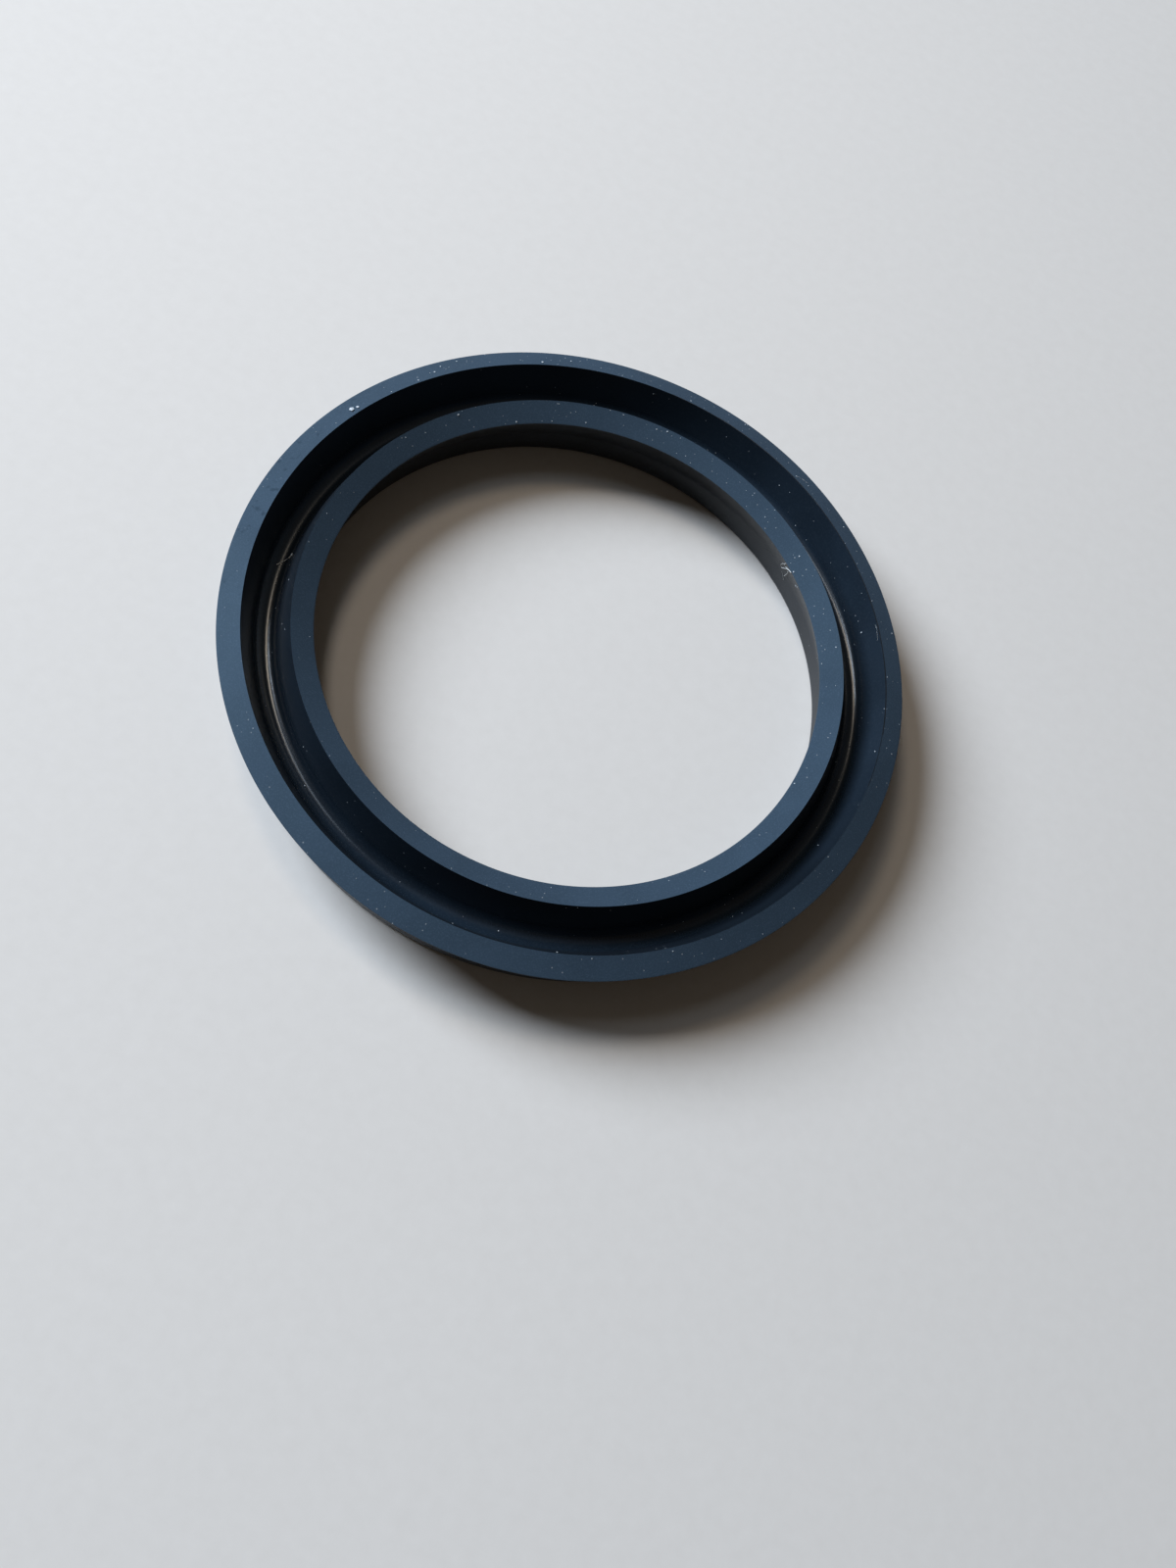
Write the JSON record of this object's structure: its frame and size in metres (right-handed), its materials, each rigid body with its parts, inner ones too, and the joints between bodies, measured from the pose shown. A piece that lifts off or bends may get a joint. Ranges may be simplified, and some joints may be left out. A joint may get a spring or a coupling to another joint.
{
  "type": "u-cup seal",
  "caption": "Round rubber u-cup seal: a solid heel, two flared lips with bevelled lands, and a rounded groove between them.",
  "frame": {"origin": "centre of the heel face, in the plane that the seal lies on", "axes": "+Z along the ring's axis, from the heel towards the open groove; X and Y are any two radii"},
  "size_m": [0.0514, 0.0514, 0.006],
  "materials": {
    "black_rubber": "matte moulded, with smoother groove walls"
  },
  "bodies": {
    "root": {"seal_ring": "black_rubber"}
  },
  "joints": []
}
